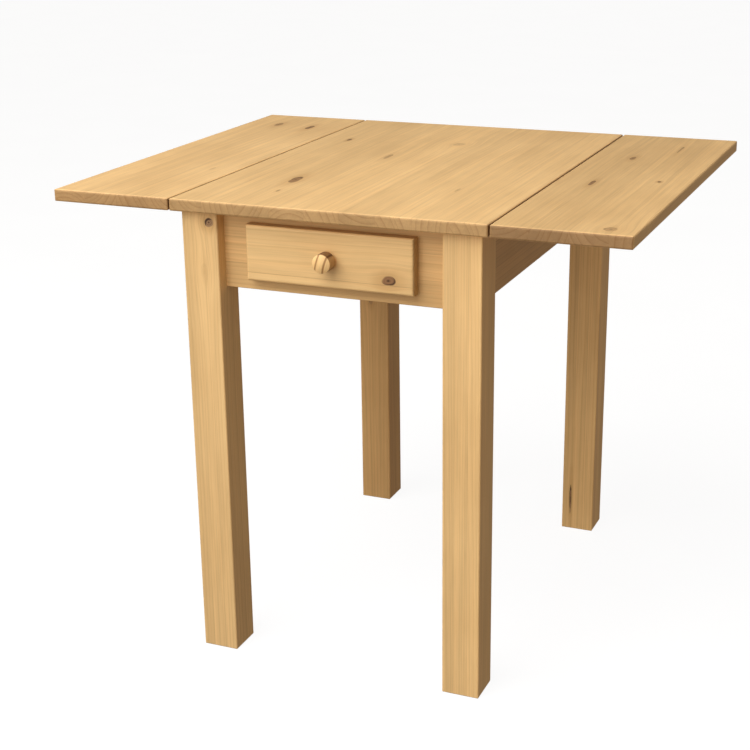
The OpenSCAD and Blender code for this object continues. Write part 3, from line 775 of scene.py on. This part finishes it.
knob_low, knob_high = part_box("drawer_knob")
knob_middle = (knob_low + knob_high) / 2
knob_lean = math.radians(17)
knob_shift = Vector((knob_middle.x, 0.0, knob_middle.z))
knob_pine = pine(
    "pine_knob",
    "drawer_knob",
    grain="z",
    across="x",
    seed=203.0,
    ring_strength=0.12,
    lean=(knob_shift, (0.0, knob_lean, 0.0)),
    sawn_tint=(0.42, 0.36, 0.32, 1.0),
)
tree = knob_pine.node_tree
shader = tree.nodes["Principled BSDF"]
wood_colour = shader.inputs["Base Color"].links[0].from_socket
mapping = next(node for node in tree.nodes if node.type == "MAPPING")
turned_x = split_xyz(tree, mapping.outputs[0])[0]
ring_lines = 0.0
for ring_place in RING_PLACES:
    beside = calc(tree, "ABSOLUTE", calc(tree, "SUBTRACT", turned_x, ring_place))
    line = blend_range(tree, beside, RING_CORE, RING_EDGE, 1.0, 0.0)
    ring_lines = calc(tree, "MAXIMUM", ring_lines, line)
striped = glaze(tree, calc(tree, "MULTIPLY", ring_lines, 0.85), wood_colour, RING_TINT)

# the turned side is darkened all round as painted shade, over the darker end grain of its top and bottom
place = next(node for node in tree.nodes if node.type == "TEX_COORD")
turned_side = blend_range(tree, facing_axis(tree, place, AXES["y"]), 0.35, 0.85, 1.0, 0.0)
finished = glaze(tree, turned_side, striped, SIDE_SHADE)
tree.links.new(finished, shader.inputs["Base Color"])
dress("drawer_knob", knob_pine)
print("knob", round(knob_high.x - knob_low.x, 4), "across")

# %% [markdown]
# ## The parts underneath
# Lopers, drawer box, runners, cleats and corner blocks are plainer pine. They still get a board of
# their own each, because they are seen when the table is folded or turned over.

# %% Inner pine
inner_boards = {
    "loper_left_front": ("x", "y"),
    "loper_left_rear": ("x", "y"),
    "loper_right_front": ("x", "y"),
    "loper_right_rear": ("x", "y"),
    "top_cleat_front": ("x", "z"),
    "top_cleat_rear": ("x", "z"),
    "runner_left": ("y", "x"),
    "runner_right": ("y", "x"),
    "drawer_inner_front": ("x", "z"),
    "drawer_back": ("x", "z"),
    "drawer_side_left": ("y", "z"),
    "drawer_side_right": ("y", "z"),
    "corner_blocks": ("x", "y"),
}
DRAWER_TINT = (1.02, 1.02, 1.04, 1.0)
FRAME_TINT = (0.93, 0.90, 0.86, 1.0)

for number, (node, (grain, across)) in enumerate(inner_boards.items()):
    tint = DRAWER_TINT if node.startswith("drawer") else FRAME_TINT
    dress(node, pine("pine_" + node, node, grain, across, 220.0 + 5.0 * number, tint=tint))
print(len(inner_boards), "inner boards dressed")

# %% [markdown]
# ## Beech dowels
# Beech has no strong rings, but short dark flecks along the grain. They are noise that is cut off
# high, so that only its peaks are left.

# %% Beech
def beech(name, grain, across):
    """Plain pale hardwood with short flecks."""
    material, tree, shader, place = start_material(name)
    along, side, through = board_axes(tree, place, grain, across)
    fleck_place = stretched(tree, join_xyz(tree, along, side, through), 260.0, 1500.0, 0.0)
    flecks = blend_range(tree, noise(tree, fleck_place, 1.0, 2.0), 0.58, 0.70)
    clouds = noise(tree, place.outputs["Object"], 60.0, 3.0)
    colour = mix_colour(tree, clouds, (0.600, 0.400, 0.240, 1.0), (0.700, 0.490, 0.310, 1.0))
    colour = mix_colour(tree, calc(tree, "MULTIPLY", flecks, 0.5), colour, (0.330, 0.180, 0.090, 1.0))
    tree.links.new(colour, shader.inputs["Base Color"])
    rough = calc(tree, "ADD", 0.45, calc(tree, "MULTIPLY", flecks, 0.2))
    tree.links.new(rough, shader.inputs["Roughness"])
    return material


dowel_beech = beech("beech_dowel", "x", "y")
for node in ("apron_dowels", "drawer_dowels"):
    dress(node, dowel_beech)
print("dowels dressed")

# %% [markdown]
# ## The plywood bottom
# Plywood shows a rotary-cut face with wide lazy figure, because the veneer was peeled off the log.
# Its edges show three thin layers, the middle one dark, because it is seen end on.

# %% Plywood
VENEER = (0.690, 0.500, 0.300, 1.0)
VENEER_LINE = (0.470, 0.280, 0.130, 1.0)
VENEER_PORE = (0.520, 0.330, 0.170, 1.0)
VENEER_CORE = (0.300, 0.170, 0.080, 1.0)


def plywood(name, node):
    """Rotary-cut veneer on the faces and layers on the edges."""
    material, tree, shader, place = start_material(name)
    low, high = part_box(node)
    x, y, z = split_xyz(tree, place.outputs["Object"])
    wide = join_xyz(tree, calc(tree, "MULTIPLY", x, 5.0), calc(tree, "MULTIPLY", y, 1.6), z)
    figure = calc(tree, "FRACT", calc(tree, "MULTIPLY", noise(tree, wide, 1.0, 3.0), 14.0))
    figure = ramp(tree, figure, [(0.0, 0.0), (0.5, 0.25), (0.85, 1.0), (1.0, 0.0)])
    colour = mix_colour(tree, calc(tree, "MULTIPLY", figure, 0.35), VENEER, VENEER_LINE)
    fine = join_xyz(tree, calc(tree, "MULTIPLY", x, 900.0), calc(tree, "MULTIPLY", y, 40.0), z)
    pores = noise(tree, fine, 1.0, 2.0)
    colour = mix_colour(tree, calc(tree, "MULTIPLY", pores, 0.30), colour, VENEER_PORE)
    layer = calc(tree, "DIVIDE", calc(tree, "SUBTRACT", z, low.z), (high.z - low.z) / 3)
    from_core = calc(tree, "ABSOLUTE", calc(tree, "SUBTRACT", layer, 1.5))
    core = blend_range(tree, from_core, 0.42, 0.50, 1.0, 0.0)
    edge = blend_range(tree, facing_axis(tree, place, AXES["z"]), 0.3, 0.6, 1.0, 0.0)
    core = calc(tree, "MULTIPLY", calc(tree, "MULTIPLY", core, edge), 0.7)
    colour = mix_colour(tree, core, colour, VENEER_CORE)
    tree.links.new(colour, shader.inputs["Base Color"])
    rough = calc(tree, "ADD", 0.52, calc(tree, "MULTIPLY", pores, 0.15))
    tree.links.new(rough, shader.inputs["Roughness"])
    return material


dress("drawer_bottom", plywood("plywood_bottom", "drawer_bottom"))
print("drawer bottom dressed")

# %% [markdown]
# ## Steel
# Two metals are enough: bright zinc on screws, bolts, nuts and washers, with the soft crystals of
# plating, and brushed steel on the hinges, with scratches that follow the length of the hinge.

# %% Zinc and hinge steel
def zinc(name):
    """Zinc-plated steel with cloudy crystals and a little dirt."""
    material, tree, shader, place = start_material(name)
    crystals = tree.nodes.new("ShaderNodeTexVoronoi")
    crystals.inputs["Scale"].default_value = 900.0
    tree.links.new(place.outputs["Object"], crystals.inputs["Vector"])
    clouds = noise(tree, place.outputs["Object"], 140.0, 3.0)
    shade = calc(tree, "MULTIPLY", split_xyz(tree, crystals.outputs["Color"])[0], 0.5)
    shade = calc(tree, "ADD", shade, calc(tree, "MULTIPLY", clouds, 0.5))
    colour = mix_colour(tree, shade, (0.430, 0.430, 0.440, 1.0), (0.640, 0.640, 0.630, 1.0))
    tree.links.new(colour, shader.inputs["Base Color"])
    rough = calc(tree, "ADD", 0.26, calc(tree, "MULTIPLY", shade, 0.22))
    tree.links.new(rough, shader.inputs["Roughness"])
    shader.inputs["Metallic"].default_value = 1.0
    return material


def hinge_steel(name):
    """Rolled steel, brushed along the hinge."""
    material, tree, shader, place = start_material(name)
    x, y, z = split_xyz(tree, place.outputs["Object"])
    across_x = calc(tree, "MULTIPLY", x, 2600.0)
    along_y = calc(tree, "MULTIPLY", y, 60.0)
    across_z = calc(tree, "MULTIPLY", z, 2600.0)
    scratches = noise(tree, join_xyz(tree, across_x, along_y, across_z), 1.0, 3.0)
    stain = noise(tree, place.outputs["Object"], 70.0, 3.0)
    colour = mix_colour(tree, stain, (0.360, 0.350, 0.330, 1.0), (0.560, 0.550, 0.530, 1.0))
    tree.links.new(colour, shader.inputs["Base Color"])
    rough = calc(tree, "ADD", 0.24, calc(tree, "MULTIPLY", scratches, 0.26))
    tree.links.new(rough, shader.inputs["Roughness"])
    shader.inputs["Metallic"].default_value = 1.0
    add_bump(tree, shader, scratches, 0.25, 0.0001)
    return material


bright_zinc = zinc("zinc_steel")
brushed_steel = hinge_steel("hinge_steel")
ZINC_WORDS = ("screw", "bolt", "nut", "washer")

for node in nodes:
    if any(word in node for word in ZINC_WORDS):
        dress(node, bright_zinc)
    elif node.startswith("hinge_"):
        dress(node, brushed_steel)
undressed = [name for name, made in nodes.items() if not made.material_slots[0].material.use_nodes]
print("steel ready; undressed nodes:", undressed)

# %% [markdown]
# ## Screws with a cross in their heads
# The CAD screws are turned shapes with plain heads. What says "screw" is the cross that the driver
# fits in. It could be cut with a Boolean modifier, but modelling it is cleaner: a plus-shaped loop is
# bridged to the round rim, and its face is pushed down. Each screw is measured on the CAD mesh first.

# %% Measure the separate solids of a node
def loose_solids(node):
    """Lists of corner points, one list for each separate solid of a CAD node."""
    builder = bmesh.new()
    builder.from_mesh(nodes[node].data)
    bmesh.ops.remove_doubles(builder, verts=builder.verts, dist=0.00001)
    seen = set()
    solids = []
    for first in builder.verts:
        if first in seen:
            continue
        seen.add(first)
        group = [first]
        for vert in group:
            for edge in vert.link_edges:
                other = edge.other_vert(vert)
                if other not in seen:
                    seen.add(other)
                    group.append(other)
        solids.append([vert.co.copy() for vert in group])
    builder.free()
    return solids


def measure_screw(points, axis):
    """The head's middle, which way it faces, its radius and rim, and the length and radius of the shank."""
    low = Vector([min(point[i] for point in points) for i in range(3)])
    high = Vector([max(point[i] for point in points) for i in range(3)])
    middle = (low + high) / 2
    radial = []
    for point in points:
        aside = point - middle
        aside[axis] = 0.0
        radial.append((aside.length, point[axis]))
    head_radius = max(radius for radius, level in radial)
    rim = [level for radius, level in radial if radius > head_radius * 0.97]
    sign = 1.0 if sum(rim) / len(rim) > middle[axis] else -1.0
    face = high[axis] if sign > 0 else low[axis]
    length = high[axis] - low[axis]
    shank = [radius for radius, level in radial if length * 0.55 < abs(level - face) < length * 0.97]
    if not shank:
        shank = [radius for radius, level in radial if abs(level - face) > length * 0.97]
    middle[axis] = face
    rim_depth = max(abs(level - face) for level in rim)
    return middle, sign, head_radius, rim_depth, max(shank), length


# %% [markdown]
# ### The head and its cross
# The corners of one arm are turned four times, which gives the plus-shaped loop. It is higher than
# the rim, so the bridge between them is a low dome. The inset of the last face sinks the cross.

# %% The head of a screw
DOME_RISE = 0.00025
DRIVER_EDGE = 0.14
DRIVER_TIP = 0.58


def screw_head(builder, head_radius, dome, recess):
    """A round head that faces up. Returns the edges of its rim."""
    place = Matrix.Translation((0.0, 0.0, -dome))
    bmesh.ops.create_circle(builder, segments=24, radius=head_radius, matrix=place)
    rim = builder.edges[:]
    wide = head_radius * DRIVER_EDGE
    tip = head_radius * DRIVER_TIP
    quarter = [(wide, -tip), (wide, -wide), (tip, -wide)]
    corners = []
    for turn in range(4):
        for x, y in quarter:
            spot = Matrix.Rotation(math.pi / 2 * turn, 3, "Z") @ Vector((x, y, 0.0))
            corners.append(builder.verts.new(spot))
    cross = [builder.edges.new((corners[i - 1], corners[i])) for i in range(12)]
    bmesh.ops.bridge_loops(builder, edges=rim + cross)
    floor_face = builder.faces.new(corners)
    bmesh.ops.recalc_face_normals(builder, faces=builder.faces)
    if floor_face.normal.z < 0:
        bmesh.ops.reverse_faces(builder, faces=builder.faces)
    bmesh.ops.inset_individual(builder, faces=[floor_face], thickness=wide * 0.3, depth=-recess)
    return rim


# %% [markdown]
# ### The shank
# Every extrusion grows the open edge of the one before it, from the rim down to the point, and the
# last hole is filled, so that the screw is closed. A countersunk head narrows slowly to the shank,
# and a pan head has a flat underside.

# %% One whole screw
def screw_mesh(head_radius, rim_depth, shank_radius, length):
    """A screw at the origin whose head faces up."""
    builder = bmesh.new()
    dome = min(DOME_RISE, length * 0.1)
    recess = min(head_radius * 0.45, length * 0.3)
    edges = screw_head(builder, head_radius, dome, recess)
    step_down = max(rim_depth, dome * 1.5)
    countersunk = rim_depth < 0.001
    flare = 0.9 if countersunk else 0.02
    neck = step_down + max(0.0, (head_radius - shank_radius) * flare)
    outline = [(head_radius, step_down), (shank_radius, neck), (shank_radius, length * 0.86)]
    outline.append((shank_radius * 0.2, length))
    for radius, depth in outline:
        grown = bmesh.ops.extrude_edge_only(builder, edges=edges)["geom"]
        for vert in grown:
            if isinstance(vert, bmesh.types.BMVert):
                aside = Vector((vert.co.x, vert.co.y)).normalized() * radius
                vert.co = (aside.x, aside.y, -depth)
        edges = [edge for edge in grown if isinstance(edge, bmesh.types.BMEdge)]
    bmesh.ops.holes_fill(builder, edges=edges, sides=0)
    bmesh.ops.recalc_face_normals(builder, faces=builder.faces)
    mesh = bpy.data.meshes.new("one_screw")
    builder.to_mesh(mesh)
    builder.free()
    return mesh


# %% [markdown]
# ### Placing the screws
# The CAD mesh says where each head is and which way it looks. A small extra spin for each one keeps
# the crosses from lining up, because no fitter stops every screw at the same angle.

# %% Copy the screw to every place
SPIN_STEP = 0.9

# each node of screws and the axis that they point along
screw_nodes = {"drawer_front_screws": 1, "knob_screw": 1, "cleat_screws": 2, "loper_screws": 2}
for side_name in ("left", "right"):
    screw_nodes["hinge_fixed_screws_" + side_name] = 2
    screw_nodes["hinge_leaf_screws_" + side_name] = 2

for node, axis in screw_nodes.items():
    solids = loose_solids(node)
    sizes = measure_screw(solids[0], axis)
    one_screw = screw_mesh(*sizes[2:])
    builder = bmesh.new()
    for index, points in enumerate(solids):
        head_middle, sign = measure_screw(points, axis)[:2]
        facing = Vector([sign if i == axis else 0.0 for i in range(3)])
        turn = facing.to_track_quat("Z", "Y").to_matrix().to_4x4()
        spin = Matrix.Rotation(SPIN_STEP * index, 4, "Z")
        before = len(builder.verts)
        builder.from_mesh(one_screw)
        builder.verts.ensure_lookup_table()
        added = builder.verts[before:]
        bmesh.ops.transform(builder, matrix=Matrix.Translation(head_middle) @ turn @ spin, verts=added)
    piece = object_from_bmesh("cross_" + node, builder)
    piece.data.materials.append(bright_zinc)
    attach(piece, nodes[node]["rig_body"])
    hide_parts(node)
    print(node, len(solids), "screws with heads of", round(1000 * sizes[2], 2), "mm radius")

# %% [markdown]
# ## Paint for the studio
# The floor glows a little by itself, so that it stays pale even in the shadow of the table, and its
# dim paint still takes a faint contact shadow. The backdrop only glows.

# %% Floor and backdrop finish
material, tree, shader, place = start_material("studio_floor_paint")
speckle = noise(tree, place.outputs["Object"], 3.0, 4.0)
paint = mix_colour(tree, speckle, (0.150, 0.152, 0.155, 1.0), (0.165, 0.167, 0.170, 1.0))
tree.links.new(paint, shader.inputs["Base Color"])
lit = mix_colour(tree, speckle, (0.905, 0.908, 0.912, 1.0), (0.920, 0.923, 0.926, 1.0))
tree.links.new(lit, shader.inputs["Emission Color"])
shader.inputs["Emission Strength"].default_value = 1.0
shader.inputs["Roughness"].default_value = 0.8
shader.inputs["Specular IOR Level"].default_value = 0.1
floor.data.materials.append(material)

material, tree, shader, place = start_material("studio_backdrop_glow")
shader.inputs["Base Color"].default_value = (0.0, 0.0, 0.0, 1.0)
shader.inputs["Specular IOR Level"].default_value = 0.0
haze = noise(tree, place.outputs["Object"], 0.02, 2.0)
glow = mix_colour(tree, haze, (0.965, 0.965, 0.960, 1.0), (0.995, 0.995, 0.990, 1.0))
tree.links.new(glow, shader.inputs["Emission Color"])
shader.inputs["Emission Strength"].default_value = 1.0
backdrop.data.materials.append(material)
print("studio painted")

# %% [markdown]
# ## Light
# One large softbox stands high in front of the table and to its left. A smaller one fills the front,
# and warm dim air fills the shade, as the light that other wood throws back does in a room.

# %% Lights
def softbox(name, watts, size, towards, distance, aim, colour):
    """A square area light that looks at a point from one direction."""
    data = bpy.data.lights.new(name, "AREA")
    data.energy = watts
    data.color = colour
    data.size = size
    lamp = bpy.data.objects.new(name, data)
    lamp.visible_camera = False
    bpy.context.scene.collection.objects.link(lamp)
    direction = Vector(towards).normalized()
    turn = direction.to_track_quat("Z", "Y").to_matrix().to_4x4()
    lamp.matrix_world = Matrix.Translation(Vector(aim) + direction * distance) @ turn


table_middle = ((table_low + table_high) / 2) + Vector((0.0, 0.0, 0.2))
softbox(
    "key_softbox",
    watts=108.0,
    size=3.2,
    towards=(-0.30, -0.55, 0.78),
    distance=3.2,
    aim=table_middle,
    colour=(1.0, 0.985, 0.955),
)
softbox(
    "front_fill",
    watts=27.0,
    size=2.2,
    towards=(-0.16, -0.97, 0.16),
    distance=3.2,
    aim=table_middle,
    colour=(1.0, 0.96, 0.90),
)

world = bpy.data.worlds.new("studio_air")
bpy.context.scene.world = world
world.use_nodes = True
air = world.node_tree.nodes["Background"]
air.inputs["Color"].default_value = (1.0, 0.83, 0.66, 1.0)
air.inputs["Strength"].default_value = 0.26
print("two softboxes and warm air")

# %% [markdown]
# ## Camera
# The camera stands far enough away for a calm perspective, looks down on the top, and is turned a
# little on its axis. Yaw, pitch and roll give three unit vectors, right, up and backwards, and these
# are the columns of the camera's matrix.

# %% Camera
camera_data = bpy.data.cameras.new("studio_camera")
camera_data.lens = 72.6
camera_data.sensor_width = 36.0
camera = bpy.data.objects.new("studio_camera", camera_data)
bpy.context.scene.collection.objects.link(camera)
bpy.context.scene.camera = camera

yaw = math.radians(23.25)
pitch = math.radians(18.94)
roll = math.radians(-0.82)
looks = Vector((-math.sin(yaw) * math.cos(pitch), math.cos(yaw) * math.cos(pitch), -math.sin(pitch)))
right = Vector((math.cos(yaw), math.sin(yaw), 0.0))
up = right.cross(looks)
tilted_right = right * math.cos(roll) + up * math.sin(roll)
tilted_up = up * math.cos(roll) - right * math.sin(roll)
turned = Matrix((tilted_right, tilted_up, -looks)).transposed().to_4x4()
camera_place = Vector((0.909, -2.303, 1.236))
camera.matrix_world = Matrix.Translation(camera_place) @ turned
bpy.context.scene.view_settings.view_transform = "Standard"
print("camera at", [round(part, 3) for part in camera.location])
